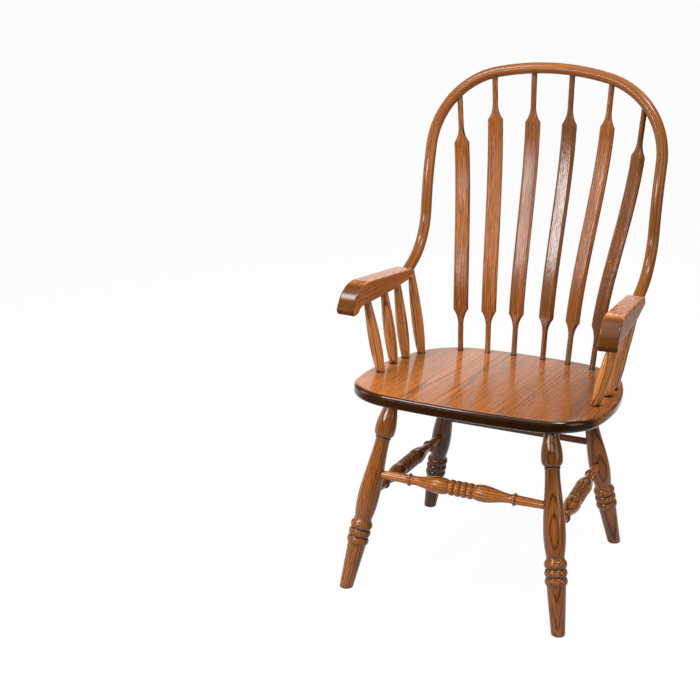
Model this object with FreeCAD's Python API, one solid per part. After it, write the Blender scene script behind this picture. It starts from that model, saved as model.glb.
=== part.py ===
import FreeCAD, Part
import math
import os

os.makedirs("parts", exist_ok=True)
vec = FreeCAD.Vector

# An armchair of glued wood. Sizes are in millimetres and angles in degrees. The chair faces -Y, +Z is up,
# and left and right are as seen from in front. Until the last step, places are measured from a point on
# the floor below the seat.

# Fits
fit_gap = 0.1                   # radial gap round a tenon, dowel or spindle end in its hole
tip_gap = 0.8                   # space past the tip of what sits in a blind hole
mouth_reach = 20.0              # how far a hole's cutter runs out past the joint
tolerance = 0.01                # for telling edges and faces apart

# Seat, five boards glued edge to edge and shaped as one plank
seat_height = 439.5             # top face above the reference point
seat_tilt = 4.57                # the top falls towards the back
seat_thickness = 26.0
seat_half_width = 279.5
seat_widest_at = -49.0
seat_front = -252.0
seat_back = 261.0
seat_side_radius = 620.0
seat_front_radius = 1590.0
seat_back_radius = 1370.0
seat_front_corner = 127.0
seat_rear_corner = 157.0
seat_top_round = 10.0
seat_bottom_round = 8.0
seat_board_width = 134.0        # the three middle boards; the outer two run to the seat's sides

# Legs: where the axis meets the seat's underside, and how far the foot stands out from there
front_leg_side_inset = 103.5
front_leg_front_inset = 98.0
front_leg_outward = 67.0
front_leg_forward = 97.0
rear_leg_side_inset = 122.5
rear_leg_back_inset = 106.0
rear_leg_outward = 77.5
rear_leg_backward = 64.5
rear_leg_foot_cut = 7.0         # rear legs are the same turning, cut shorter at the foot

# Leg turning, heights along the axis from the foot or down from the seat
leg_foot_radius = 14.75
leg_foot_round = 2.2
leg_bead_height = 103.0
leg_bead_count = 3
leg_bead_pitch = 17.8
leg_bead_radius = 24.25
leg_groove_radius = 20.5
leg_neck_rise = 6.0             # neck above the top bead
leg_neck_radius = 18.75
leg_vase_height = 207.0
leg_vase_radius = 23.5
leg_vase_fullness = 0.72        # share of the swell reached halfway from neck to vase
leg_taper_at = 0.45             # a place between vase and waist, as a share of the way
leg_taper_fullness = 0.62       # share of the swell left there
leg_waist_drop = 91.0           # narrow waist below the seat, where the knob begins
leg_waist_radius = 15.7
leg_ring_length = 5.5           # thin ring under the knob
leg_ring_radius = 17.2
leg_knob_rise = 14.5            # widest part of the knob above the waist
leg_knob_radius = 22.5
leg_knob_start_at = 0.4         # a place between waist and knob, as a share of the way
leg_knob_start_fullness = 0.78  # share of the knob's swell reached there
leg_knob_end_at = 0.33          # a place between knob and seat, as a share of the way
leg_knob_end_fullness = 0.74    # share of the knob's swell left there
leg_tenon_radius = 15.0
leg_tenon_cover = 8.0           # seat wood left above the leg's tenon

# Stretchers, heights of their axes above the floor
front_stretcher_height = 257.0
side_stretcher_height = 206.5
back_stretcher_height = 258.0
back_stretcher_radius = 8.0
stretcher_tip_inset = 2.0       # from the leg's axis to the stretcher's tip
stretcher_tenon_radius = 9.0
stretcher_tenon_length = 26.0
stretcher_shaft_radius = 10.5
stretcher_collar_radius = 14.0
stretcher_collar_length = 7.0
stretcher_collar_spacing = 237.0
stretcher_swell_radius = 17.0
stretcher_taper_at = 0.55       # a place between swell and collar, as a share of the way
stretcher_taper_fullness = 0.55  # share of the swell left there
stretcher_bead_radius = 17.5
stretcher_groove_radius = 14.5
stretcher_bead_pitch = 14.0
stretcher_bead_pairs = 2

# Bow, one bent round rod; its forward ends meet the arms
bow_radius = 12.7
bow_half_width = 270.0
bow_end_back = 122.0            # bow end behind the reference point
bow_end_rise = 179.3            # bow end above the seat's top face
bow_end_slope = 23.9            # rise of the rod where it leaves the arm
bow_end_straight = 48.6
bow_bend_radius = 130.0
bow_lower_lean = 4.6
bow_lower_straight = 19.4
bow_back_radius = 568.0
bow_upper_lean = 16.3
bow_crown_rise = 207.4          # crown above the last bend, along the leaning plane
bow_crown_radius = 566.0
bow_shoulder_straight = 13.6

# Paddles, six flat blades with round necks, between seat and bow
paddle_pairs = 3
paddle_first = 35.5             # foot of the innermost paddle from the middle
paddle_pitch = 62.3             # between feet, across the seat
paddle_top_first = 44.5         # top of the innermost paddle from the crown, along the bow
paddle_top_pitch = 94.0         # between tops, along the bow
paddle_back_inset = 30.0        # feet from the seat's back edge, in the middle
paddle_foot_radius = 522.0      # the feet stand on an arc
paddle_turn = 1.25              # turn of a blade as a share of that arc's angle
paddle_neck_radius = 6.4
paddle_width = 34.5
paddle_thickness = 14.0
paddle_chamfer_across = 5.5
paddle_chamfer_deep = 4.5
paddle_face_crown = 0.15        # very slight roundness of the blade's faces
paddle_foot_length = 58.0       # straight neck above the seat
paddle_flare_length = 40.0
paddle_flare_stations = (0, 0.3, 0.62, 1)
paddle_flare_hollow = 1.6       # how quickly the flare narrows from the blade
paddle_blade_stations = 7
paddle_blade_length = 436.0
paddle_outer_blade_length = 378.0
paddle_socket_depth = 19.0
paddle_foot_lean = 0.62         # slope of the lower neck, as a share of the slope from foot to top
paddle_top_lean = 0.0           # backward slope of the upper neck, as the same share
paddle_top_spread = 0.75        # sideways slope of the upper neck, as the same share

# Arms, lengths forward from the bow's end and heights from the middle of that end
arm_width = 41.5
arm_offset = -0.5               # arm's middle outside the bow's
arm_top_lift = 5.4              # arm's top above the bow's end
arm_toe_out = 3.4
arm_top_rise = 5.7              # slope of the top towards the front
arm_crest_forward = 213.0
arm_nose_radius = 75.0
arm_lip_radius = 11.0
arm_lip_drop = 23.8
arm_throat_forward = 243.0
arm_throat_length = 29.0
arm_under_drop = 10.8           # underside at the throat
arm_edge_round = 4.0
arm_heel_length = 70.0          # rear stretch with its lower corners worked round
arm_heel_radius = 26.5          # of that rounding at its front end
arm_heel_end_radius = 22.2      # of that rounding at the bow

# Arm spindles, front to back; the last one stands under the bow
spindle_side_insets = (35.5, 31.1, 35.1, 50.3)
spindle_foot_places = (-71.5, 11.4, 71.4, 129.7)
spindle_top_forward = (189.0, 108.0, 42.3)
spindle_on_bow = 32.8           # along the bow from its end
spindle_foot_radius = 9.0
spindle_belly_radius = 13.5
spindle_belly_share = 0.4       # height of the belly as a share of the spindle's length
spindle_taper_fullness = 0.65   # share of the belly's swell left halfway from belly to top
spindle_top_radius = 7.75
spindle_socket_depth = 18.0
spindle_top_depth = 15.0

# Dowels between bow and arms
dowel_radius = 5.0
dowel_slope = 6.0               # rise towards the back
dowel_in_arm = 26.0
dowel_in_bow = 16.0


def unit(direction):
    return direction / direction.Length


def between(start, end, share):
    return start + (end - start) * share


def line(start, end):
    return Part.LineSegment(start, end).toShape()


def arc(start, middle, end):
    return Part.Arc(start, middle, end).toShape()


def curve(points):
    spline = Part.BSplineCurve()
    spline.interpolate(points)
    return spline.toShape()


def lathe(radius, height):
    return vec(radius, 0, height)


def turned(edges):
    return Part.Face(Part.Wire(edges)).revolve(vec(), vec(0, 0, 1), 360)


def placed(shape, start, direction):
    moved = shape.copy()
    moved.Placement = FreeCAD.Placement(start, FreeCAD.Rotation(vec(0, 0, 1), direction))
    return moved


def rod(start, end, radius):
    return Part.makeCylinder(radius, (end - start).Length, start, end - start)


def hole(tip, mouth, radius):
    direction = unit(mouth - tip)
    return rod(tip - direction * tip_gap, mouth, radius + fit_gap)


def mirrored(point):
    return vec(-point.x, point.y, point.z)


def sided(shape, sign):
    return shape if sign > 0 else shape.mirror(vec(), vec(1, 0, 0))


def sloped(angle):
    turn = math.radians(angle)
    return vec(0, math.cos(turn), math.sin(turn))


# Seat
seat_place = FreeCAD.Placement(vec(0, 0, seat_height), FreeCAD.Rotation(vec(1, 0, 0), -seat_tilt))


def seat_point(x, y, depth=0.0):
    return seat_place.multVec(vec(x, y, -depth))


def seat_plank():
    base = -seat_thickness
    side = seat_half_width - seat_side_radius
    plank = Part.makeCylinder(seat_side_radius, seat_thickness, vec(side, seat_widest_at, base))
    for x, y, radius in (
        (-side, seat_widest_at, seat_side_radius),
        (0, seat_front + seat_front_radius, seat_front_radius),
        (0, seat_back - seat_back_radius, seat_back_radius),
    ):
        plank = plank.common(Part.makeCylinder(radius, seat_thickness, vec(x, y, base)))
    for is_front, radius in ((True, seat_front_corner), (False, seat_rear_corner)):
        corners = [
            edge for edge in plank.Edges
            if abs(edge.tangentAt(edge.FirstParameter).z) > 1 - tolerance
            and (edge.CenterOfMass.y < seat_widest_at) == is_front
        ]
        plank = plank.makeFillet(radius, corners)
    for level, radius in ((0.0, seat_top_round), (base, seat_bottom_round)):
        rim = [
            edge for edge in plank.Edges
            if abs(edge.BoundBox.ZMin - level) < tolerance and abs(edge.BoundBox.ZMax - level) < tolerance
        ]
        plank = plank.makeFillet(radius, rim)
    return plank


def seat_boards(plank):
    reach = 2 * seat_half_width
    inner = seat_board_width / 2
    outer = inner + seat_board_width
    spans = {
        "seat_board_left_outer": (-reach, -outer),
        "seat_board_left_inner": (-outer, -inner),
        "seat_board_centre": (-inner, inner),
        "seat_board_right_inner": (inner, outer),
        "seat_board_right_outer": (outer, reach),
    }
    boards = {}
    for name, (low, high) in spans.items():
        slab = Part.makeBox(high - low, 2 * reach, 4 * seat_thickness, vec(low, -reach, -2 * seat_thickness))
        boards[name] = plank.common(slab)
        boards[name].Placement = seat_place
    return boards


# Legs
def leg_ends(sign, is_front):
    inset = front_leg_side_inset if is_front else rear_leg_side_inset
    along = seat_front + front_leg_front_inset if is_front else seat_back - rear_leg_back_inset
    out = front_leg_outward if is_front else rear_leg_outward
    away = -front_leg_forward if is_front else rear_leg_backward
    top = seat_point(sign * (seat_half_width - inset), along, seat_thickness)
    foot = vec(top.x + sign * out, top.y + away, 0)
    return foot, top


def leg_tenon_tip(foot, top):
    return top + unit(top - foot) * (seat_thickness - leg_tenon_cover)


def leg_turning(length, tip, foot_cut):
    below = 2 * leg_foot_radius
    first_groove = leg_bead_height - foot_cut
    vase = leg_vase_height - foot_cut
    taper = (leg_groove_radius - leg_foot_radius) / first_groove
    beads_top = first_groove + leg_bead_count * leg_bead_pitch
    neck = beads_top + leg_neck_rise
    waist = length - leg_waist_drop
    ring = waist - leg_ring_length
    knob = waist + leg_knob_rise
    start = lathe(leg_foot_radius - taper * below, -below)
    groove = lathe(leg_groove_radius, first_groove)
    edges = [line(lathe(0, -below), start), line(start, groove)]
    for _ in range(leg_bead_count):
        crest = lathe(leg_bead_radius, groove.z + leg_bead_pitch / 2)
        next_groove = lathe(leg_groove_radius, groove.z + leg_bead_pitch)
        edges.append(arc(groove, crest, next_groove))
        groove = next_groove
    edges.append(line(groove, lathe(leg_neck_radius, neck)))
    taper_radius = between(leg_waist_radius, leg_vase_radius, leg_taper_fullness)
    edges.append(curve([
        lathe(leg_neck_radius, neck),
        lathe(between(leg_neck_radius, leg_vase_radius, leg_vase_fullness), (neck + vase) / 2),
        lathe(leg_vase_radius, vase),
        lathe(taper_radius, between(vase, ring, leg_taper_at)),
        lathe(leg_waist_radius, ring),
    ]))
    edges.append(arc(
        lathe(leg_waist_radius, ring),
        lathe(leg_ring_radius, (ring + waist) / 2),
        lathe(leg_waist_radius, waist),
    ))
    knob_start = between(leg_waist_radius, leg_knob_radius, leg_knob_start_fullness)
    knob_end = between(leg_tenon_radius, leg_knob_radius, leg_knob_end_fullness)
    edges.append(curve([
        lathe(leg_waist_radius, waist),
        lathe(knob_start, between(waist, knob, leg_knob_start_at)),
        lathe(leg_knob_radius, knob),
        lathe(knob_end, between(knob, length, leg_knob_end_at)),
        lathe(leg_tenon_radius, length),
    ]))
    edges.append(line(lathe(leg_tenon_radius, length), lathe(leg_tenon_radius, tip)))
    edges.append(line(lathe(leg_tenon_radius, tip), lathe(0, tip)))
    edges.append(line(lathe(0, tip), lathe(0, -below)))
    return turned(edges)


def leg(foot, top, foot_cut):
    tip = leg_tenon_tip(foot, top)
    turning = leg_turning((top - foot).Length, (tip - foot).Length, foot_cut)
    body = placed(turning, foot, top - foot)
    deep = 6 * leg_foot_radius
    ground = Part.makeBox(deep, deep, deep, foot + vec(-deep / 2, -deep / 2, -deep))
    body = body.cut(ground)
    sole = min(body.Faces, key=lambda face: face.CenterOfMass.z)
    return body.makeFillet(leg_foot_round, sole.Edges)


def leg_axis_point(ends, height):
    foot, top = ends
    return foot + (top - foot) * (height / top.z)


# Stretchers
def stretcher_ends(first, second):
    direction = unit(second - first)
    return first + direction * stretcher_tip_inset, second - direction * stretcher_tip_inset


def stretcher_half(reach):
    edges = [line(lathe(0, 0), lathe(stretcher_groove_radius, 0))]
    groove = lathe(stretcher_groove_radius, 0)
    for _ in range(stretcher_bead_pairs):
        crest = lathe(stretcher_bead_radius, groove.z + stretcher_bead_pitch / 2)
        next_groove = lathe(stretcher_groove_radius, groove.z + stretcher_bead_pitch)
        edges.append(arc(groove, crest, next_groove))
        groove = next_groove
    collar_in = stretcher_collar_spacing / 2 - stretcher_collar_length / 2
    collar_out = collar_in + stretcher_collar_length
    swell = groove.z + stretcher_bead_pitch / 2
    tenon = reach - stretcher_tenon_length
    taper = between(stretcher_shaft_radius, stretcher_swell_radius, stretcher_taper_fullness)
    edges.append(curve([
        groove,
        lathe(stretcher_swell_radius, swell),
        lathe(taper, between(swell, collar_in, stretcher_taper_at)),
        lathe(stretcher_shaft_radius, collar_in),
    ]))
    edges.append(arc(
        lathe(stretcher_shaft_radius, collar_in),
        lathe(stretcher_collar_radius, stretcher_collar_spacing / 2),
        lathe(stretcher_shaft_radius, collar_out),
    ))
    edges.append(line(lathe(stretcher_shaft_radius, collar_out), lathe(stretcher_tenon_radius, tenon)))
    edges.append(line(lathe(stretcher_tenon_radius, tenon), lathe(stretcher_tenon_radius, reach)))
    edges.append(line(lathe(stretcher_tenon_radius, reach), lathe(0, reach)))
    edges.append(line(lathe(0, reach), lathe(0, 0)))
    return turned(edges)


def turned_stretcher(start, end):
    half = stretcher_half((end - start).Length / 2)
    whole = half.fuse(half.mirror(vec(), vec(0, 0, 1))).removeSplitter()
    return placed(whole, (start + end) / 2, end - start)


# Bow
def bow_end():
    return vec(bow_half_width, bow_end_back, seat_height + bow_end_rise)


def bent(start, from_angle, to_angle, radius):
    turn = 1 if to_angle > from_angle else -1
    centre = start + sloped(from_angle + 90 * turn) * radius
    middle = centre - sloped((from_angle + to_angle) / 2 + 90 * turn) * radius
    return middle, centre - sloped(to_angle + 90 * turn) * radius


bow_lower_angle = 90 - bow_lower_lean
bow_upper_angle = 90 - bow_upper_lean
bow_tail = bow_end() + sloped(bow_end_slope) * bow_end_straight
bow_bend_mid, bow_bend_end = bent(bow_tail, bow_end_slope, bow_lower_angle, bow_bend_radius)
bow_side = bow_bend_end + sloped(bow_lower_angle) * bow_lower_straight
bow_back_mid, bow_back_end = bent(bow_side, bow_lower_angle, bow_upper_angle, bow_back_radius)

# Two tangent arcs in the leaning plane: crown and shoulder
bow_up = sloped(bow_upper_angle)
crown_centre_rise = bow_crown_rise - bow_crown_radius
shoulder_offset = bow_shoulder_straight - crown_centre_rise
shoulder_radius = (
    bow_crown_radius + bow_half_width - shoulder_offset ** 2 / (bow_crown_radius - bow_half_width)
) / 2
shoulder_centre_x = bow_half_width - shoulder_radius
crown_half_angle = math.atan2(shoulder_centre_x, shoulder_offset)
crown_half_length = bow_crown_radius * crown_half_angle


def bow_plane_point(x, rise):
    return vec(x, bow_back_end.y, bow_back_end.z) + bow_up * rise


def bow_point(length):
    if length <= crown_half_length:
        angle = length / bow_crown_radius
        return bow_plane_point(
            bow_crown_radius * math.sin(angle),
            crown_centre_rise + bow_crown_radius * math.cos(angle),
        )
    angle = crown_half_angle + (length - crown_half_length) / shoulder_radius
    return bow_plane_point(
        shoulder_centre_x + shoulder_radius * math.sin(angle),
        bow_shoulder_straight + shoulder_radius * math.cos(angle),
    )


def bow_rod():
    shoulder_length = shoulder_radius * (math.pi / 2 - crown_half_angle)
    shoulder_start = bow_plane_point(bow_half_width, bow_shoulder_straight)
    shoulder_mid = bow_point(crown_half_length + shoulder_length / 2)
    crown_side = bow_point(crown_half_length)
    right = [
        (bow_end(), bow_tail),
        (bow_tail, bow_bend_mid, bow_bend_end),
        (bow_bend_end, bow_side),
        (bow_side, bow_back_mid, bow_back_end),
        (bow_back_end, shoulder_start),
        (shoulder_start, shoulder_mid, crown_side),
    ]
    crown = (crown_side, bow_point(0), mirrored(crown_side))
    left = [tuple(mirrored(point) for point in reversed(run)) for run in reversed(right)]
    edges = [line(*run) if len(run) == 2 else arc(*run) for run in right + [crown] + left]
    ring = Part.Wire(Part.makeCircle(bow_radius, bow_end(), sloped(bow_end_slope)))
    return Part.Wire(edges).makePipeShell([ring], True, False)


# Paddles, numbered 0 to 2 from the middle outwards on the right
def paddle_line(number):
    x = paddle_first + paddle_pitch * number
    arc_middle = seat_back - paddle_back_inset - paddle_foot_radius
    foot = seat_point(x, arc_middle + math.sqrt(paddle_foot_radius ** 2 - x ** 2))
    top = bow_point(paddle_top_first + paddle_top_pitch * number)
    return foot, top


class Paddle:
    def __init__(self, number):
        self.foot, self.top = paddle_line(number)
        self.rise = self.top.z - self.foot.z
        chord = (self.top - self.foot) / self.rise
        self.foot_slope = vec(chord.x * paddle_foot_lean, chord.y * paddle_foot_lean, 1)
        self.top_slope = vec(chord.x * paddle_top_spread, chord.y * paddle_top_lean, 1)
        is_outer = number == paddle_pairs - 1
        blade = paddle_outer_blade_length if is_outer else paddle_blade_length
        self.low = paddle_foot_length + paddle_flare_length
        self.high = self.low + blade
        turn = paddle_turn * math.asin(self.foot.x / paddle_foot_radius)
        self.facing = vec(math.cos(turn), -math.sin(turn), 0)

    def point(self, height):
        if height <= self.low:
            return self.foot + self.foot_slope * height
        if height >= self.high:
            return self.top - self.top_slope * (self.rise - height)
        length = self.high - self.low
        share = (height - self.low) / length
        ease = share ** 2 * (3 - 2 * share)
        start_pull = share * (1 - share) ** 2 * length
        end_pull = share ** 2 * (share - 1) * length
        ends = self.point(self.low) * (1 - ease) + self.point(self.high) * ease
        return ends + self.foot_slope * start_pull + self.top_slope * end_pull

    def direction(self, height):
        if height <= self.low:
            return unit(self.foot_slope)
        if height >= self.high:
            return unit(self.top_slope)
        step = 0.01
        return unit(self.point(height + step) - self.point(height - step))

    def section(self, height, half_width, half_depth, roundness):
        along = self.direction(height)
        through = unit(along.cross(self.facing))
        across = unit(through.cross(along))
        centre = self.point(height)
        wide = half_width - paddle_chamfer_across
        deep = half_depth - paddle_chamfer_deep
        corners = [
            (half_width, -deep), (half_width, deep), (wide, half_depth), (-wide, half_depth),
            (-half_width, deep), (-half_width, -deep), (-wide, -half_depth), (wide, -half_depth),
        ]
        edges = []
        for i, (a, b) in enumerate(zip(corners, corners[1:] + corners[:1])):
            angle = math.pi / 4 * i
            crown = 1 + paddle_face_crown / half_depth
            flat = (a, ((a[0] + b[0]) / 2 * crown, (a[1] + b[1]) / 2 * crown), b)
            points = []
            for (u, v), shift in zip(flat, (-math.pi / 8, 0, math.pi / 8)):
                round_u = paddle_neck_radius * math.cos(angle + shift)
                round_v = paddle_neck_radius * math.sin(angle + shift)
                points.append(
                    centre
                    + across * (u * (1 - roundness) + round_u * roundness)
                    + through * (v * (1 - roundness) + round_v * roundness)
                )
            edges.append(arc(*points))
        return Part.Wire(edges)

    def flare(self, shoulder, end):
        wires = []
        for share in paddle_flare_stations:
            wires.append(self.section(
                between(shoulder, end, share),
                between(paddle_neck_radius, paddle_width / 2, (1 - share) ** paddle_flare_hollow),
                between(paddle_neck_radius, paddle_thickness / 2, 1 - share),
                share,
            ))
        return Part.makeLoft(wires, True, False)

    def neck(self, height, tip):
        ring = self.section(height, paddle_width / 2, paddle_thickness / 2, 1)
        return Part.Face(ring).extrude(tip - self.point(height))

    def seat_tip(self):
        return self.foot - self.direction(0) * paddle_socket_depth

    def solid(self):
        wires = []
        for i in range(paddle_blade_stations):
            height = between(self.low, self.high, i / (paddle_blade_stations - 1))
            wires.append(self.section(height, paddle_width / 2, paddle_thickness / 2, 0))
        blade = Part.makeLoft(wires, True, False)
        top_neck = self.high + paddle_flare_length
        pieces = [
            self.flare(self.low, paddle_foot_length),
            self.flare(self.high, top_neck),
            self.neck(paddle_foot_length, self.seat_tip()),
            self.neck(top_neck, self.top),
        ]
        return blade.fuse(pieces).removeSplitter()


# Arms, worked out for the right one
arm_place = FreeCAD.Placement(bow_end() + vec(arm_offset, 0, 0), FreeCAD.Rotation(vec(0, 0, 1), arm_toe_out))


def arm_side_point(forward, height):
    return vec(-arm_width / 2, -forward, height)


def arm_top_height(forward):
    slope = math.radians(bow_end_slope)
    rear_forward = bow_radius * math.sin(slope)
    rear_height = bow_radius * math.cos(slope)
    return rear_height + arm_top_lift + (forward - rear_forward) * math.tan(math.radians(arm_top_rise))


def arm_under_height(forward):
    slope = math.radians(bow_end_slope)
    rear_forward = -bow_radius * math.sin(slope)
    rear_height = -bow_radius * math.cos(slope)
    share = (forward - rear_forward) / (arm_throat_forward - rear_forward)
    return rear_height + (-arm_under_drop - rear_height) * share


def arm_blank():
    rear = -2 * bow_radius
    rise = math.radians(arm_top_rise)
    crest = vec(0, arm_crest_forward, arm_top_height(arm_crest_forward))
    nose_centre = crest + vec(0, math.sin(rise), -math.cos(rise)) * arm_nose_radius
    lip_level = arm_lip_radius - arm_lip_drop
    tip_turn = math.asin((lip_level - nose_centre.z) / (arm_nose_radius - arm_lip_radius))
    lip_forward = nose_centre.y + (arm_nose_radius - arm_lip_radius) * math.cos(tip_turn)

    def nose(angle):
        return arm_side_point(
            nose_centre.y + arm_nose_radius * math.cos(angle),
            nose_centre.z + arm_nose_radius * math.sin(angle),
        )

    def lip(angle):
        return arm_side_point(
            lip_forward + arm_lip_radius * math.cos(angle),
            lip_level + arm_lip_radius * math.sin(angle),
        )

    crest_turn = math.pi / 2 + rise
    throat_start = arm_throat_forward + arm_throat_length
    throat_rise = arm_lip_drop - arm_under_drop
    throat_radius = (arm_throat_length ** 2 + throat_rise ** 2) / (4 * throat_rise)
    throat_turn = math.asin(arm_throat_length / 2 / throat_radius)
    bulge = throat_radius * math.sin(throat_turn / 2)
    dip = throat_radius * (1 - math.cos(throat_turn / 2))
    throat_mid = arm_side_point(arm_throat_forward + arm_throat_length / 2, -arm_lip_drop + throat_rise / 2)
    edges = [
        line(arm_side_point(rear, arm_top_height(rear)), nose(crest_turn)),
        arc(nose(crest_turn), nose((crest_turn + tip_turn) / 2), nose(tip_turn)),
        arc(lip(tip_turn), lip((tip_turn - math.pi / 2) / 2), lip(-math.pi / 2)),
        line(lip(-math.pi / 2), arm_side_point(throat_start, -arm_lip_drop)),
        arc(
            arm_side_point(throat_start, -arm_lip_drop),
            arm_side_point(throat_start - bulge, -arm_lip_drop + dip),
            throat_mid,
        ),
        arc(
            throat_mid,
            arm_side_point(arm_throat_forward + bulge, -arm_under_drop - dip),
            arm_side_point(arm_throat_forward, -arm_under_drop),
        ),
        line(
            arm_side_point(arm_throat_forward, -arm_under_drop),
            arm_side_point(rear, arm_under_height(rear)),
        ),
        line(arm_side_point(rear, arm_under_height(rear)), arm_side_point(rear, arm_top_height(rear))),
    ]
    blank = Part.Face(Part.Wire(edges)).extrude(vec(arm_width, 0, 0))
    sides = [face for face in blank.Faces if abs(abs(face.CenterOfMass.x) - arm_width / 2) < tolerance]
    return blank.makeFillet(arm_edge_round, [edge for face in sides for edge in face.Edges])


def arm_solid():
    rear = 4 * bow_radius
    deep = 4 * arm_width
    start = vec(0, -arm_heel_length, arm_heel_end_radius - bow_radius)
    length = arm_heel_length + rear
    end_radius = between(arm_heel_radius, arm_heel_end_radius, length / arm_heel_length)
    cone = Part.makeCone(arm_heel_radius, end_radius, length, start, vec(0, 1, 0))
    block = Part.makeBox(deep, length, deep, vec(-deep / 2, -arm_heel_length, -deep / 2))
    arm = arm_blank().cut(block.cut(cone))
    arm.Placement = arm_place
    behind = Part.makeBox(deep, deep, deep, vec(-deep / 2, -deep / 2, 0))
    return arm.cut(placed(behind, bow_end(), sloped(bow_end_slope)))


# Arm spindles
def spindle_turning(length, foot_depth, top_depth):
    belly = spindle_belly_share * length
    taper = between(spindle_top_radius, spindle_belly_radius, spindle_taper_fullness)
    edges = [
        line(lathe(0, -foot_depth), lathe(spindle_foot_radius, -foot_depth)),
        line(lathe(spindle_foot_radius, -foot_depth), lathe(spindle_foot_radius, 0)),
        curve([
            lathe(spindle_foot_radius, 0),
            lathe(spindle_belly_radius, belly),
            lathe(taper, (belly + length) / 2),
            lathe(spindle_top_radius, length),
        ]),
        line(lathe(spindle_top_radius, length), lathe(spindle_top_radius, length + top_depth)),
        line(lathe(spindle_top_radius, length + top_depth), lathe(0, length + top_depth)),
        line(lathe(0, length + top_depth), lathe(0, -foot_depth)),
    ]
    return turned(edges)


def spindle_ends(number):
    foot = seat_point(seat_half_width - spindle_side_insets[number], spindle_foot_places[number])
    if number < len(spindle_top_forward):
        forward = spindle_top_forward[number]
        return foot, arm_place.multVec(vec(0, -forward, arm_under_height(forward)))
    axis = bow_end() + sloped(bow_end_slope) * spindle_on_bow
    return foot, axis - unit(axis - foot) * bow_radius


def spindle_tips(foot, top):
    direction = unit(top - foot)
    depth = min(spindle_top_depth, bow_radius)
    return foot - direction * spindle_socket_depth, top + direction * depth


# Assembly
nodes = {}
plank_holes = []
seat = seat_boards(seat_plank())

legs = {}
leg_holes = {}
for side, sign in (("left", -1), ("right", 1)):
    for place, is_front in (("front", True), ("rear", False)):
        name = "leg_" + place + "_" + side
        legs[name] = leg_ends(sign, is_front)
        leg_holes[name] = []
        foot, top = legs[name]
        mouth = top - unit(top - foot) * mouth_reach
        plank_holes.append(hole(leg_tenon_tip(foot, top), mouth, leg_tenon_radius))

for name, first, second, height in (
    ("stretcher_front", "leg_front_left", "leg_front_right", front_stretcher_height),
    ("stretcher_back", "leg_rear_left", "leg_rear_right", back_stretcher_height),
    ("stretcher_left", "leg_front_left", "leg_rear_left", side_stretcher_height),
    ("stretcher_right", "leg_front_right", "leg_rear_right", side_stretcher_height),
):
    start, end = stretcher_ends(leg_axis_point(legs[first], height), leg_axis_point(legs[second], height))
    is_plain = name == "stretcher_back"
    radius = back_stretcher_radius if is_plain else stretcher_tenon_radius
    nodes[name] = rod(start, end, radius) if is_plain else turned_stretcher(start, end)
    middle = (start + end) / 2
    leg_holes[first].append(hole(start, middle, radius))
    leg_holes[second].append(hole(end, middle, radius))

for name, (foot, top) in legs.items():
    foot_cut = rear_leg_foot_cut if "rear" in name else 0.0
    nodes[name] = leg(foot, top, foot_cut).cut(leg_holes[name])

bow_holes = []
for number in range(paddle_pairs):
    paddle = Paddle(number)
    solid = paddle.solid()
    seat_mouth = paddle.foot + paddle.direction(0) * mouth_reach
    bow_mouth = paddle.top - paddle.direction(paddle.rise) * (bow_radius + mouth_reach)
    seat_hole = hole(paddle.seat_tip(), seat_mouth, paddle_neck_radius)
    bow_hole = hole(paddle.top, bow_mouth, paddle_neck_radius)
    for sign, place in ((-1, paddle_pairs - number), (1, paddle_pairs + 1 + number)):
        nodes["paddle_" + str(place)] = sided(solid, sign)
        plank_holes.append(sided(seat_hole, sign))
        bow_holes.append(sided(bow_hole, sign))

arm_holes = []
for number in range(len(spindle_foot_places)):
    foot, top = spindle_ends(number)
    foot_tip, top_tip = spindle_tips(foot, top)
    length = (top - foot).Length
    turning = spindle_turning(length, (foot - foot_tip).Length, (top_tip - top).Length)
    spindle = placed(turning, foot, top - foot)
    outside = unit(top - foot) * mouth_reach
    foot_hole = hole(foot_tip, foot + outside, spindle_foot_radius)
    top_hole = hole(top_tip, top - outside, spindle_top_radius)
    if number < len(spindle_top_forward):
        arm_holes.append(top_hole)
    for side, sign in (("left", -1), ("right", 1)):
        nodes["arm_spindle_" + side + "_" + str(number + 1)] = sided(spindle, sign)
        plank_holes.append(sided(foot_hole, sign))
        if number >= len(spindle_top_forward):
            bow_holes.append(sided(top_hole, sign))

dowel_front = bow_end() - sloped(dowel_slope) * dowel_in_arm
dowel_back = bow_end() + sloped(dowel_slope) * dowel_in_bow
dowel = rod(dowel_front, dowel_back, dowel_radius)
arm_holes.append(hole(dowel_front, dowel_back, dowel_radius))
arm = arm_solid().cut(arm_holes)
for side, sign in (("left", -1), ("right", 1)):
    nodes["arm_" + side] = sided(arm, sign)
    nodes["arm_dowel_" + side] = sided(dowel, sign)
    bow_holes.append(sided(hole(dowel_back, dowel_front, dowel_radius), sign))

nodes["bow"] = bow_rod().cut(bow_holes)
for name, board in seat.items():
    nodes[name] = board.cut(plank_holes)

# The origin is the middle of the chair's footprint, on the floor
box = Part.makeCompound(list(nodes.values())).optimalBoundingBox()
centring = vec(0, -box.Center.y, 0)
for name, shape in nodes.items():
    shape.translate(centring)
    solids = shape.Solids
    if len(solids) != 1 or not shape.isValid():
        print("check", name, len(solids), shape.isValid())
    solids[0].exportStep("parts/" + name + ".step")
print("nodes", len(nodes), "shift", round(centring.y, 3))
print("size", round(box.XLength, 1), round(box.YLength, 1), round(box.ZLength, 1))
print("floor", round(box.ZMin, 4), "shoulder radius", round(shoulder_radius, 1))
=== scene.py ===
import math

import bpy
import numpy as np
from mathutils import Matrix, Vector


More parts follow.
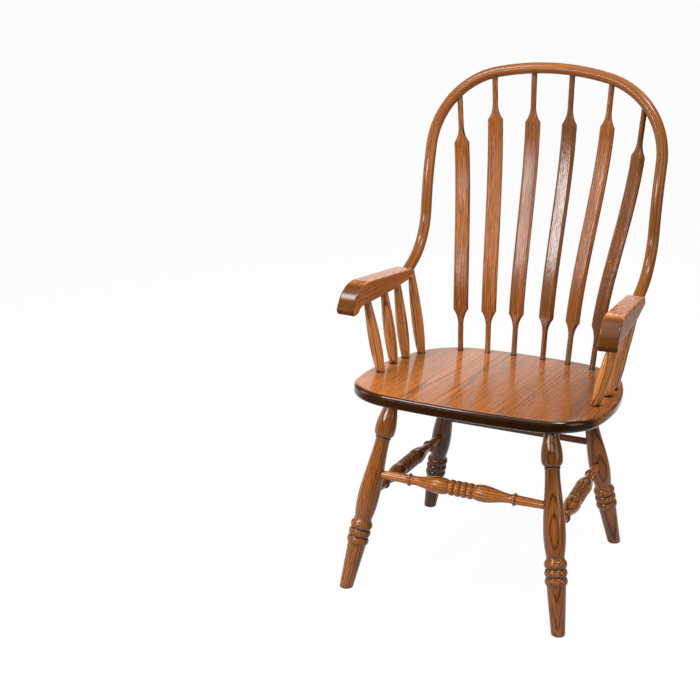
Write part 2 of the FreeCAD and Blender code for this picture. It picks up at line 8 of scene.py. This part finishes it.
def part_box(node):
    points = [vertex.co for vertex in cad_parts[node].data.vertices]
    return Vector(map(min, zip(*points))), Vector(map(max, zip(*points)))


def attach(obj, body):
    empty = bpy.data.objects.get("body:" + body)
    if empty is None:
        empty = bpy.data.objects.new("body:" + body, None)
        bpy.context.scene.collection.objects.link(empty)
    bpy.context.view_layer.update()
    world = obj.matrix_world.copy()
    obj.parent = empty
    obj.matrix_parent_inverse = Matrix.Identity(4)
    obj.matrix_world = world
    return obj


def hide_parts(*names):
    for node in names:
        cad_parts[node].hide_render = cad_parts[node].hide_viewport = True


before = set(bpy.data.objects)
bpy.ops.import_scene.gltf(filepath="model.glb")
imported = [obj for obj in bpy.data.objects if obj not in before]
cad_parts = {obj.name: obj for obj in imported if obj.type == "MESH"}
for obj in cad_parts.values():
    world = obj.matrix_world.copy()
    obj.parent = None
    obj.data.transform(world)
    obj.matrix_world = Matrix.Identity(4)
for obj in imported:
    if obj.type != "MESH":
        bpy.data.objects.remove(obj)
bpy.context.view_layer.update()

scene = bpy.context.scene
scene.view_settings.view_transform = "Standard"
print("frame loaded,", len(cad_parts), "pieces of wood")


# Node helpers: a value is either a plain number or colour, or the socket that feeds it

def feedSocket(tree, socket, value):
    if isinstance(value, bpy.types.NodeSocket):
        tree.links.new(value, socket)
    else:
        socket.default_value = value


def addNode(tree, kind, settings=None, inputs=None):
    node = tree.nodes.new(kind)
    for key, value in (settings or {}).items():
        setattr(node, key, value)
    for key, value in (inputs or {}).items():
        feedSocket(tree, node.inputs[key], value)
    return node


def mathNode(tree, operation, *values):
    inputs = dict(enumerate(values))
    return addNode(tree, "ShaderNodeMath", {"operation": operation}, inputs).outputs[0]


def vectorNode(tree, operation, *values):
    inputs = dict(enumerate(values))
    node = addNode(tree, "ShaderNodeVectorMath", {"operation": operation}, inputs)
    return node.outputs["Value" if operation in ("LENGTH", "DOT_PRODUCT") else "Vector"]


def noiseNode(tree, point, stretch, detail):
    scaled = vectorNode(tree, "MULTIPLY", point, stretch)
    return addNode(tree, "ShaderNodeTexNoise", None, {"Vector": scaled, "Scale": 1.0, "Detail": detail})


def rangeNode(tree, value, low, high, toLow=0.0, toHigh=1.0):
    settings = {"interpolation_type": "SMOOTHSTEP"}
    inputs = {"Value": value, "From Min": low, "From Max": high, "To Min": toLow, "To Max": toHigh}
    return addNode(tree, "ShaderNodeMapRange", settings, inputs).outputs["Result"]


def mixNode(tree, factor, first, second, blend="MIX"):
    node = addNode(tree, "ShaderNodeMix", {"data_type": "RGBA", "blend_type": blend})
    inputs = {"Factor": factor, "A": first, "B": second}
    for socket in node.inputs:
        if socket.enabled and socket.name in inputs:
            feedSocket(tree, socket, inputs[socket.name])
    return next(socket for socket in node.outputs if socket.enabled)


# Oak: growth rings round the z axis of the point that comes in, in metres, with pores along z

oakFigure = {
    # Slow bending of the rings, their uneven edges, and how strongly the years differ
    "wanderStretch": (7.0, 7.0, 1.4), "wanderDetail": 2.0,
    "ringStretch": (55.0, 55.0, 1.6), "ringDetail": 1.0, "ringUneven": 0.7,
    "yearLeast": 0.5, "yearSpread": 0.6,
    "earlyWood": ((0.0, 1.0), (0.1, 0.85), (0.24, 0.3), (0.45, 0.08), (0.92, 0.0), (1.0, 0.9)),
    # Streaks, pores and tone
    "streakStretch": (340.0, 340.0, 5.0), "streakDetail": 3.0, "streakRange": (0.33, 0.67),
    "poreStretch": (820.0, 820.0, 62.0), "poreDetail": 1.0, "poreRange": (0.52, 0.66),
    "poreLeast": 0.25, "poreEarly": 0.8,
    "toneStretch": (10.0, 10.0, 2.2), "toneDetail": 2.0, "toneRange": (0.25, 0.75),
    "toneLevels": (0.82, 1.16), "ringShare": 0.75, "streakShare": 0.38,
    # Wood cut across the grain: more stain, a plainer figure, and lacquer that sinks in
    "endRange": (0.06, 0.42), "endFlat": 0.75,
    "sunkRange": (0.70, 0.90), "sunkShare": 0.9,
    # Painted shade in grooves, corners and where parts meet, found by ambient occlusion; partly also stain
    # gathered there
    "paintedShadeReach": 0.008, "paintedShadeSamples": 8, "paintedShadeRange": (0.5, 0.97), "paintedShadeDark": 0.85,
    # Lacquer: duller over pores and streaks, uneven over open grain
    "poreRough": 0.12, "streakRough": 0.2,
    "ringDepth": -0.35, "poreDepth": -1.0,
    "rippleStretch": (210.0, 210.0, 75.0), "rippleDetail": 1.0,
}


def makeOakGrain():
    tree = bpy.data.node_groups.new("oakGrain", "ShaderNodeTree")
    inputs = (
        ("Point", "NodeSocketVector"), ("Surface", "NodeSocketVector"), ("Grain", "NodeSocketVector"),
        ("Ring Pitch", "NodeSocketFloat"), ("Wander", "NodeSocketFloat"), ("Contrast", "NodeSocketFloat"),
        ("Pores", "NodeSocketFloat"), ("Gloss", "NodeSocketFloat"), ("End Dark", "NodeSocketFloat"),
        ("Ripple", "NodeSocketFloat"),
        ("Light", "NodeSocketColor"), ("Dark", "NodeSocketColor"), ("Pore", "NodeSocketColor"),
    )
    for name, kind in inputs:
        tree.interface.new_socket(name, in_out="INPUT", socket_type=kind)
    outputs = (
        ("Color", "NodeSocketColor"), ("Roughness", "NodeSocketFloat"), ("Lacquer", "NodeSocketFloat"),
        ("Height", "NodeSocketFloat"),
    )
    for name, kind in outputs:
        tree.interface.new_socket(name, in_out="OUTPUT", socket_type=kind)
    given = tree.nodes.new("NodeGroupInput").outputs

    def noise(point, name):
        return noiseNode(tree, point, oakFigure[name + "Stretch"], oakFigure[name + "Detail"])

    # Rings, bent slowly and with uneven edges
    noiseMiddle = (0.5, 0.5, 0.5)
    crossSection = (1.0, 1.0, 0.0)
    slow = noise(given["Point"], "wander").outputs["Color"]
    shift = addNode(tree, "ShaderNodeVectorMath", {"operation": "SCALE"}, {
        0: vectorNode(tree, "SUBTRACT", slow, noiseMiddle), "Scale": given["Wander"],
    })
    point = vectorNode(tree, "ADD", given["Point"], shift.outputs["Vector"])
    radius = vectorNode(tree, "LENGTH", vectorNode(tree, "MULTIPLY", point, crossSection))
    rings = mathNode(tree, "DIVIDE", radius, given["Ring Pitch"])
    rings = mathNode(tree, "MULTIPLY_ADD", noise(point, "ring").outputs[0], oakFigure["ringUneven"], rings)
    ramp = tree.nodes.new("ShaderNodeValToRGB")
    elements = ramp.color_ramp.elements
    while len(elements) < len(oakFigure["earlyWood"]):
        elements.new(0.5)
    for element, (place, level) in zip(elements, oakFigure["earlyWood"]):
        element.position = place
        element.color = (level, level, level, 1.0)
    tree.links.new(mathNode(tree, "FRACT", rings), ramp.inputs[0])
    year = addNode(tree, "ShaderNodeTexWhiteNoise", {"noise_dimensions": "1D"}, {
        "W": mathNode(tree, "FLOOR", rings),
    }).outputs["Value"]
    strength = mathNode(tree, "MULTIPLY_ADD", year, oakFigure["yearSpread"], oakFigure["yearLeast"])
    early = mathNode(tree, "MULTIPLY", ramp.outputs["Color"], strength)

    # Streaks along the grain, pores mostly in the early wood, and a slow change of tone
    streaks = rangeNode(tree, noise(point, "streak").outputs[0], *oakFigure["streakRange"])
    poreShare = mathNode(tree, "MULTIPLY_ADD", early, oakFigure["poreEarly"], oakFigure["poreLeast"])
    pores = rangeNode(tree, noise(point, "pore").outputs[0], *oakFigure["poreRange"])
    pores = mathNode(tree, "MULTIPLY", pores, poreShare)
    pores = mathNode(tree, "MULTIPLY", pores, given["Pores"])
    tone = noise(given["Point"], "tone").outputs[0]

    # Wood cut across the grain
    facing = vectorNode(tree, "DOT_PRODUCT", given["Surface"], given["Grain"])
    across = mathNode(tree, "ABSOLUTE", facing)
    endGrain = rangeNode(tree, across, *oakFigure["endRange"])
    plainness = mathNode(tree, "MULTIPLY_ADD", endGrain, -oakFigure["endFlat"], 1.0)
    sunk = rangeNode(tree, across, *oakFigure["sunkRange"])
    lacquer = mathNode(tree, "MULTIPLY_ADD", sunk, -oakFigure["sunkShare"], 1.0)

    # Colour of the figure, then shaded by tone, end grain and the painted shade in grooves
    ringFigure = mathNode(tree, "MULTIPLY", early, oakFigure["ringShare"])
    figure = mathNode(tree, "MULTIPLY_ADD", streaks, oakFigure["streakShare"], ringFigure)
    figure = mathNode(tree, "MULTIPLY", mathNode(tree, "MULTIPLY", figure, plainness), given["Contrast"])
    color = mixNode(tree, figure, given["Light"], given["Dark"])
    color = mixNode(tree, pores, color, given["Pore"])
    level = rangeNode(tree, tone, *oakFigure["toneRange"], *oakFigure["toneLevels"])
    endStain = mathNode(tree, "MULTIPLY", endGrain, given["End Dark"])
    level = mathNode(tree, "MULTIPLY", level, mathNode(tree, "SUBTRACT", 1.0, endStain))
    # Painted shade: the colour is made darker where ambient occlusion finds a groove or corner
    openness = addNode(tree, "ShaderNodeAmbientOcclusion", {"samples": oakFigure["paintedShadeSamples"]}, {
        "Distance": oakFigure["paintedShadeReach"],
    }).outputs["AO"]
    paintedShade = rangeNode(tree, openness, *oakFigure["paintedShadeRange"], 1.0 - oakFigure["paintedShadeDark"], 1.0)
    level = mathNode(tree, "MULTIPLY", level, paintedShade)
    shade = addNode(tree, "ShaderNodeCombineColor", None, {0: level, 1: level, 2: level}).outputs[0]
    color = mixNode(tree, 1.0, color, shade, "MULTIPLY")

    # Lacquer over it
    rough = mathNode(tree, "MULTIPLY_ADD", pores, oakFigure["poreRough"], given["Gloss"])
    streakGloss = mathNode(tree, "MULTIPLY", streaks, given["Gloss"])
    rough = mathNode(tree, "MULTIPLY_ADD", streakGloss, oakFigure["streakRough"], rough)
    sunkPores = mathNode(tree, "MULTIPLY", pores, oakFigure["poreDepth"])
    height = mathNode(tree, "MULTIPLY_ADD", early, oakFigure["ringDepth"], sunkPores)
    height = mathNode(tree, "MULTIPLY_ADD", noise(point, "ripple").outputs[0], given["Ripple"], height)
    addNode(tree, "NodeGroupOutput", None, {
        "Color": color, "Roughness": rough, "Lacquer": lacquer, "Height": height,
    })
    return tree


oakGrain = makeOakGrain()


# grainFrom is "object" for straight pieces, or the name of a vector attribute for a bent one
def oakMaterial(name, finish, mapping, grain, grainFrom="object"):
    material = bpy.data.materials.new(name)
    material.use_nodes = True
    tree = material.node_tree
    shader = tree.nodes["Principled BSDF"]
    if grainFrom == "object":
        point = tree.nodes.new("ShaderNodeTexCoord").outputs["Object"]
    else:
        point = addNode(tree, "ShaderNodeAttribute", {"attribute_name": grainFrom}).outputs["Vector"]
    placed = addNode(tree, "ShaderNodeMapping", None, {
        "Vector": point, "Location": mapping["location"], "Rotation": mapping["rotation"],
    })
    oak = addNode(tree, "ShaderNodeGroup", {"node_tree": oakGrain}, {
        "Point": placed.outputs[0],
        "Surface": tree.nodes.new("ShaderNodeNewGeometry").outputs["Normal"],
        "Grain": grain,
        "Ring Pitch": finish["ringPitch"], "Wander": finish["wander"], "Contrast": finish["contrast"],
        "Pores": finish["pores"], "Gloss": finish["gloss"], "End Dark": finish["endDark"],
        "Ripple": finish["ripple"],
        "Light": finish["light"], "Dark": finish["dark"], "Pore": finish["pore"],
    })
    bump = addNode(tree, "ShaderNodeBump", None, {
        "Height": oak.outputs["Height"], "Strength": finish["bump"], "Distance": finish["bumpDepth"],
    })
    if "eased" in finish:
        edges = addNode(tree, "ShaderNodeBevel", {"samples": finish["easedSamples"]}, {
            "Radius": finish["eased"],
        })
        tree.links.new(edges.outputs[0], bump.inputs["Normal"])
    tree.links.new(oak.outputs["Color"], shader.inputs["Base Color"])
    tree.links.new(oak.outputs["Roughness"], shader.inputs["Roughness"])
    tree.links.new(bump.outputs[0], shader.inputs["Normal"])
    shader.inputs["IOR"].default_value = finish["ior"]
    if "coatIor" in finish:
        tree.links.new(oak.outputs["Lacquer"], shader.inputs["Coat Weight"])
        shader.inputs["Coat IOR"].default_value = finish["coatIor"]
        shader.inputs["Coat Roughness"].default_value = finish["coatRoughness"]
    return material


def toned(finish, tone):
    colors = {}
    for key in ("light", "dark", "pore"):
        colors[key] = (*(tone * part for part in finish[key][:3]), 1.0)
    return dict(finish, **colors)


# A piece's own grain frame: z along its length, x towards the bark side.
# Every seventh corner is enough to find the length of a piece.
cornerStep = 7


def grainMapping(node, finish, bark, seed):
    corners = np.array([vertex.co for vertex in node.data.vertices])
    centre = Vector(corners.mean(0))
    if "grain" in finish:
        along = Vector(finish["grain"]).normalized()
    else:
        spread = corners[::cornerStep] - corners.mean(0)
        along = Vector(np.linalg.svd(spread, full_matrices=False)[2][0]).normalized()
    bark = Vector(bark)
    bark = (bark - along * bark.dot(along)).normalized()
    turn = Matrix((bark, along.cross(bark), along))
    place = Vector((finish["pith"], 0.0, seed)) - turn @ centre
    return {"location": place, "rotation": turn.to_euler()}, along


# Each piece is cut from its own place along the log, seed and seedStep in metres
def stainPieces(pieces, seed, seedStep):
    for number, (name, finish, bark) in enumerate(pieces):
        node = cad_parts[name]
        mapping, grain = grainMapping(node, finish, bark, seed + seedStep * number)
        node.data.materials.clear()
        node.data.materials.append(oakMaterial(name + "_oak", finish, mapping, grain))


stain = {
    "light": (0.40, 0.130, 0.026, 1.0), "dark": (0.08, 0.020, 0.004, 1.0), "pore": (0.020, 0.006, 0.002, 1.0),
    "ringPitch": 0.0052, "wander": 0.012, "contrast": 1.0, "pores": 0.85, "gloss": 0.18, "endDark": 0.4,
    "bump": 0.22, "bumpDepth": 0.0004, "ripple": 0.0, "ior": 1.36, "pith": 0.07,
}


# Seat, five boards with the grain from front to back

seat = {
    "tilt": math.radians(-4.57), "tone": 1.12, "seed": 0.0, "seedStep": 0.9,
    # Bark side and tone of each board; the left boards are lighter and the right ones darker, partly their
    # own tone and partly painted light and shade across the seat
    "boards": {
        # Painted light and shade in part: the left boards are made lighter and the right boards darker
        "seat_board_left_outer": ((-0.9, 0.0, 0.5), 1.15),
        "seat_board_left_inner": ((-0.5, 0.0, 0.9), 1.1),
        "seat_board_centre": ((0.7, 0.0, 0.7), 0.95),
        "seat_board_right_inner": ((0.9, 0.0, 0.5), 0.78),
        "seat_board_right_outer": ((0.9, 0.0, 0.6), 0.74),
    },
}
seatOak = dict(
    toned(stain, seat["tone"]), ringPitch=0.0032, wander=0.010, contrast=0.85, endDark=0.925,
    ior=1.05, coatIor=1.4, coatRoughness=0.13, grain=(0.0, math.cos(seat["tilt"]), math.sin(seat["tilt"])),
)
seatPieces = [(name, toned(seatOak, tone), bark) for name, (bark, tone) in seat["boards"].items()]
stainPieces(seatPieces, seat["seed"], seat["seedStep"])
print("seat boards stained")


# Legs and stretchers, turned along the grain

base = {
    "seed": 5.3, "seedStep": 0.7, "loopLeg": "leg_front_right",
    # Bark side and tone of each piece; the rear left leg and the left stretcher are made darker as painted
    # shade
    "turningsToneAndShade": {
        "leg_front_left": ((1.0, 0.4, 0.0), 1.15),
        "leg_front_right": ((0.34, -1.0, 0.0), 0.95),
        # Painted shade: this leg is darkened to stand for the shadow it lies in
        "leg_rear_left": ((0.8, -0.5, 0.0), 0.4),
        "leg_rear_right": ((0.6, -0.9, 0.0), 1.15),
        "stretcher_front": ((0.0, 0.5, 1.0), 1.5),
        "stretcher_back": ((0.0, 1.0, 0.4), 0.8),
        # Painted shade: this stretcher is made darker for the shadow it lies in
        "stretcher_left": ((1.0, 0.0, 0.6), 0.7),
        "stretcher_right": ((0.5, 0.0, 1.0), 1.1),
    },
}
legOak = dict(stain, ringPitch=0.0058, wander=0.008, contrast=1.15, gloss=0.09)
loopOak = dict(legOak, ringPitch=0.0034, contrast=1.3)     # the leg whose rings show as nested loops
basePieces = []
for name, (bark, tone) in base["turningsToneAndShade"].items():
    finish = loopOak if name == base["loopLeg"] else legOak
    basePieces.append((name, toned(finish, tone), bark))
stainPieces(basePieces, base["seed"], base["seedStep"])
print("legs and stretchers stained")


# Paddles, sawn flat, and arms with their spindles and hidden dowels

upper = {
    "seed": 12.1, "seedStep": 0.83,
    "paddleTones": (0.95, 1.0, 0.72, 0.58, 0.85, 0.58), "paddleTurn": 0.12,
    "armTone": 1.36, "armBark": 0.5, "spindleTone": 1.55, "spindles": 4,
}
paddleOak = dict(
    stain, ringPitch=0.0042, wander=0.006, contrast=1.2, pores=1.0, ior=1.43, bump=0.3, ripple=2.4,
    eased=0.0016, easedSamples=8,
)
armOak = dict(
    toned(stain, upper["armTone"]), ringPitch=0.0042, wander=0.008, contrast=0.9, endDark=0.79,
    ior=1.05, coatIor=1.36, coatRoughness=0.18,
)
spindleOak = dict(
    toned(stain, upper["spindleTone"]), light=(0.65, 0.25, 0.066, 1.0),
    ringPitch=0.0048, wander=0.008, contrast=1.1,
)
upperPieces = []
middle = (len(upper["paddleTones"]) + 1) / 2
for number, tone in enumerate(upper["paddleTones"], 1):
    bark = (1.0, upper["paddleTurn"] * (number - middle), 0.0)
    upperPieces.append(("paddle_" + str(number), toned(paddleOak, tone), bark))
for side, sign in (("left", -1), ("right", 1)):
    upperPieces.append(("arm_" + side, armOak, (sign * upper["armBark"], 0.0, 1.0)))
    upperPieces.append(("arm_dowel_" + side, spindleOak, (0.0, 0.0, 1.0)))
    for number in range(1, upper["spindles"] + 1):
        bark = (math.cos(number), math.sin(number), 0.0)
        upperPieces.append(("arm_spindle_" + side + "_" + str(number), spindleOak, bark))
stainPieces(upperPieces, upper["seed"], upper["seedStep"])
print("paddles, arms and spindles stained")


# Bow, a round rod swept along its bends so that the grain follows them

bow = {
    "radius": 0.0127, "sides": 48, "step": math.radians(0.5),
    "crownRadius": 0.566, "shoulderRadius": 0.184, "upperLean": 16.3,
    "upperStraight": 0.0136, "backRadius": 0.568, "lowerLean": 4.6, "lowerStraight": 0.0194,
    "bendRadius": 0.13, "endSlope": 23.9, "endStraight": 0.0486,
    "tone": 0.7, "seed": 31.0, "grainTurn": 0.6,
}
bowOak = dict(
    toned(stain, bow["tone"]), ringPitch=0.005, wander=0.006, pith=0.06,
    pores=0.0, gloss=0.16, bump=0.0, ior=1.33,
)


def walkArc(points, ahead, aside, radius, start, end):
    steps = max(2, round(abs(end - start) / bow["step"]))
    turn = (end - start) / steps
    for i in range(steps):
        middle = start + turn * (i + 0.5)
        reach = 2 * radius * math.sin(abs(turn) / 2)
        points.append(points[-1] + (ahead * math.cos(middle) + aside * math.sin(middle)) * reach)


def walkStraight(points, ahead, aside, angle, length):
    points.append(points[-1] + (ahead * math.cos(angle) + aside * math.sin(angle)) * length)


def bowRail():
    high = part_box("bow")[1]
    lean = math.radians(bow["upperLean"])
    down = Vector((0.0, -math.sin(lean), -math.cos(lean)))
    points = [Vector((0.0, high.y - bow["radius"], high.z - bow["radius"]))]
    sideways = Vector((1.0, 0.0, 0.0))
    halfWidth = high.x - bow["radius"]
    radiusStep = bow["crownRadius"] - bow["shoulderRadius"]
    crownAngle = math.asin((halfWidth - bow["shoulderRadius"]) / radiusStep)
    walkArc(points, sideways, down, bow["crownRadius"], 0.0, crownAngle)
    walkArc(points, sideways, down, bow["shoulderRadius"], crownAngle, math.pi / 2)
    forward, below = Vector((0.0, -1.0, 0.0)), Vector((0.0, 0.0, -1.0))
    upperAngle = math.pi / 2 - lean
    lowerAngle = math.pi / 2 - math.radians(bow["lowerLean"])
    endAngle = math.radians(bow["endSlope"])
    walkStraight(points, forward, below, upperAngle, bow["upperStraight"])
    walkArc(points, forward, below, bow["backRadius"], upperAngle, lowerAngle)
    walkStraight(points, forward, below, lowerAngle, bow["lowerStraight"])
    walkArc(points, forward, below, bow["bendRadius"], lowerAngle, endAngle)
    walkStraight(points, forward, below, endAngle, bow["endStraight"])
    left = [Vector((-point.x, point.y, point.z)) for point in reversed(points[1:])]
    return left + points


def makeRodTree():
    tree = bpy.data.node_groups.new("bentRod", "GeometryNodeTree")
    inputs = (
        ("Rail", "NodeSocketGeometry"), ("Radius", "NodeSocketFloat"), ("Sides", "NodeSocketInt"),
        ("Finish", "NodeSocketMaterial"),
    )
    for name, kind in inputs:
        tree.interface.new_socket(name, in_out="INPUT", socket_type=kind)
    tree.interface.new_socket("Rod", in_out="OUTPUT", socket_type="NodeSocketGeometry")
    given = tree.nodes.new("NodeGroupInput").outputs
    vectorKind = {"data_type": "FLOAT_VECTOR"}
    numberKind = {"data_type": "FLOAT"}
    ring = addNode(tree, "GeometryNodeCurvePrimitiveCircle", None, {
        "Resolution": given["Sides"], "Radius": given["Radius"],
    })
    across = addNode(tree, "GeometryNodeStoreNamedAttribute", vectorKind, {
        "Geometry": ring.outputs["Curve"], "Name": "across",
        "Value": tree.nodes.new("GeometryNodeInputPosition").outputs[0],
    })
    along = addNode(tree, "GeometryNodeStoreNamedAttribute", numberKind, {
        "Geometry": given["Rail"], "Name": "along",
        "Value": tree.nodes.new("GeometryNodeSplineParameter").outputs["Length"],
    })
    rod = addNode(tree, "GeometryNodeCurveToMesh", None, {
        "Curve": along.outputs[0], "Profile Curve": across.outputs[0], "Fill Caps": True,
    })
    acrossRead = addNode(tree, "GeometryNodeInputNamedAttribute", vectorKind, {"Name": "across"})
    alongRead = addNode(tree, "GeometryNodeInputNamedAttribute", numberKind, {"Name": "along"})
    lengthwise = addNode(tree, "ShaderNodeCombineXYZ", None, {"Z": alongRead.outputs[0]})
    grainPoint = vectorNode(tree, "ADD", acrossRead.outputs[0], lengthwise.outputs[0])
    marked = addNode(tree, "GeometryNodeStoreNamedAttribute", vectorKind, {
        "Geometry": rod.outputs[0], "Name": "grainPoint", "Value": grainPoint,
    })
    smooth = addNode(tree, "GeometryNodeSetShadeSmooth", None, {"Geometry": marked.outputs[0]})
    real = addNode(tree, "GeometryNodeRealizeInstances", None, {"Geometry": smooth.outputs[0]})
    finished = addNode(tree, "GeometryNodeSetMaterial", None, {
        "Geometry": real.outputs[0], "Material": given["Finish"],
    })
    addNode(tree, "NodeGroupOutput", None, {"Rod": finished.outputs[0]})
    return tree


def grownMesh(name, source, tree, values):
    modifier = source.modifiers.new(name, "NODES")
    modifier.node_group = tree
    for item in tree.interface.items_tree:
        if item.item_type == "SOCKET" and item.in_out == "INPUT" and item.name in values:
            modifier[item.identifier] = values[item.name]
    evaluated = source.evaluated_get(bpy.context.evaluated_depsgraph_get())
    mesh = bpy.data.meshes.new_from_object(evaluated)
    source.modifiers.remove(modifier)
    piece = bpy.data.objects.new(name, mesh)
    scene.collection.objects.link(piece)
    return piece


def makeBow():
    points = bowRail()
    curve = bpy.data.curves.new("bowRail", "CURVE")
    curve.dimensions = "3D"
    spline = curve.splines.new("POLY")
    spline.points.add(len(points) - 1)
    for knot, point in zip(spline.points, points):
        knot.co = (*point, 1.0)
    rail = bpy.data.objects.new("bowRail", curve)
    scene.collection.objects.link(rail)
    mapping = {"location": (bowOak["pith"], 0.0, bow["seed"]), "rotation": (0.0, 0.0, bow["grainTurn"])}
    finish = oakMaterial("bow_oak", bowOak, mapping, (0.0, 0.0, 0.0), "grainPoint")
    values = {"Radius": bow["radius"], "Sides": bow["sides"], "Finish": finish}
    rod = grownMesh("bowRod", rail, makeRodTree(), values)
    bpy.data.objects.remove(rail)
    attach(rod, "root")
    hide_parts("bow")
    return rod


bowRod = makeBow()
print("bow swept,", len(bowRod.data.polygons), "faces")


# Studio: pale floor and wall, soft boxes and a white surround

studio = {
    "floorSize": 60.0, "floorColor": (0.25, 0.25, 0.25, 1.0), "floorPale": (0.8, 0.8, 0.8, 1.0),
    "floorWhite": 0.96, "surround": 0.16,
    # Inward direction and place of each edge of the mirrored white
    "whiteEdges": (((-0.426, 0.905, 0.0), -0.65), ((-0.979, -0.206, 0.0), -0.52)), "whiteFade": 0.45,
    # Two ends of the wall on the floor, with its height there
    "wall": ((-3.5, 2.41, 1.95), (2.4, 5.2, 0.01)),
    # Name, place, aim, size in metres, power in watts and spread in degrees
    "boxes": (
        ("keyBox", (-0.9, -2.1, 1.34), (0.0, 0.1, 0.75), (1.4, 0.42), 6.9, 90.0),
        ("coreBox", (-1.0, -2.0, 1.34), (0.0, 0.1, 0.7), (0.55, 0.26), 2.2, 90.0),
        ("topBox", (0.1, -0.4, 2.9), (0.0, 0.0, 0.5), (3.0, 2.4), 32.0, 180.0),
        ("overLeft", (-1.05, -0.75, 2.35), (-1.05, -0.7, 0.0), (0.9, 0.6), 36.0, 180.0),
        ("overRight", (0.95, -0.25, 2.35), (0.95, -0.2, 0.0), (0.45, 0.45), 20.0, 180.0),
        ("fillBox", (1.35, -3.1, 1.95), (0.0, 0.1, 0.7), (1.0, 0.6), 3.2, 90.0),
        ("rightBox", (2.4, -0.5, 1.2), (0.0, 0.1, 0.8), (1.1, 1.6), 4.0, 90.0),
        ("leftBox", (-2.4, -0.3, 1.05), (0.0, 0.2, 0.8), (0.95, 1.2), 2.5, 90.0),
        ("backStrip", (0.5, 1.7, 2.3), (0.0, 0.0, 0.6), (1.6, 0.25), 8.0, 180.0),
        ("rearBox", (-0.5, 2.7, 1.9), (0.0, 0.2, 0.6), (1.8, 1.0), 14.0, 180.0),
    ),
}


def makeFloorPaint():
    paint = bpy.data.materials.new("floorPaint")
    paint.use_nodes = True
    tree = paint.node_tree
    tree.nodes.clear()
    path = tree.nodes.new("ShaderNodeLightPath").outputs
    color = mixNode(tree, path["Is Camera Ray"], studio["floorColor"], studio["floorPale"])
    matte = addNode(tree, "ShaderNodeBsdfDiffuse", None, {"Color": color}).outputs[0]
    white = addNode(tree, "ShaderNodeEmission", None, {"Strength": 1.0}).outputs[0]
    # White to the camera; mirrored white under and behind the chair, not far in front or to the right of it
    mirrored = mathNode(tree, "MAXIMUM", path["Is Glossy Ray"], path["Is Transmission Ray"])
    point = tree.nodes.new("ShaderNodeTexCoord").outputs["Object"]
    for inward, edge in studio["whiteEdges"]:
        inside = vectorNode(tree, "DOT_PRODUCT", point, inward)
        fade = rangeNode(tree, inside, edge - studio["whiteFade"], edge)
        mirrored = mathNode(tree, "MULTIPLY", mirrored, fade)
    seen = mathNode(tree, "MAXIMUM", path["Is Camera Ray"], mirrored)
    share = mathNode(tree, "MULTIPLY", seen, studio["floorWhite"])
    mixed = addNode(tree, "ShaderNodeMixShader", None, {0: share, 1: matte, 2: white})
    addNode(tree, "ShaderNodeOutputMaterial", None, {"Surface": mixed.outputs[0]})
    return paint


def makeSheet(name, corners, paint):
    mesh = bpy.data.meshes.new(name)
    mesh.from_pydata(corners, [], [tuple(range(len(corners)))])
    mesh.materials.append(paint)
    sheet = bpy.data.objects.new(name, mesh)
    scene.collection.objects.link(sheet)


# The camera sees white above the floor as well; the wood mirrors a dimmer room
def makeSurround():
    world = bpy.data.worlds.new("surround")
    world.use_nodes = True
    scene.world = world
    tree = world.node_tree
    backdrop = tree.nodes["Background"]
    backdrop.inputs["Color"].default_value = (1.0, 1.0, 1.0, 1.0)
    path = tree.nodes.new("ShaderNodeLightPath").outputs
    strength = mathNode(tree, "MAXIMUM", path["Is Camera Ray"], studio["surround"])
    tree.links.new(strength, backdrop.inputs["Strength"])


def makeBoxes():
    for name, place, aim, size, power, spread in studio["boxes"]:
        lamp = bpy.data.lights.new(name, "AREA")
        lamp.shape = "RECTANGLE"
        lamp.size, lamp.size_y = size
        lamp.energy = power
        lamp.spread = math.radians(spread)
        box = bpy.data.objects.new(name, lamp)
        box.location = place
        box.rotation_euler = (Vector(aim) - Vector(place)).to_track_quat("-Z", "Y").to_euler()
        scene.collection.objects.link(box)


def makeStudio():
    paint = makeFloorPaint()
    half = studio["floorSize"] / 2
    makeSheet("floor", [(-half, -half, 0), (half, -half, 0), (half, half, 0), (-half, half, 0)], paint)
    (x1, y1, height1), (x2, y2, height2) = studio["wall"]
    makeSheet("wall", [(x1, y1, 0), (x2, y2, 0), (x2, y2, height2), (x1, y1, height1)], paint)
    makeSurround()
    makeBoxes()


makeStudio()
print("studio lit")


# Camera, where the photograph was taken from

view = {
    "place": (0.9336, -2.7525, 1.4777), "towards": (-0.4053, 0.8559, -0.3211),
    "lens": 71.13, "sensor": 36.0,
}
lens = bpy.data.cameras.new("camera")
lens.lens = view["lens"]
lens.sensor_width = view["sensor"]
camera = bpy.data.objects.new("camera", lens)
camera.location = view["place"]
camera.rotation_euler = Vector(view["towards"]).to_track_quat("-Z", "Y").to_euler()
scene.collection.objects.link(camera)
scene.camera = camera
print("camera set")
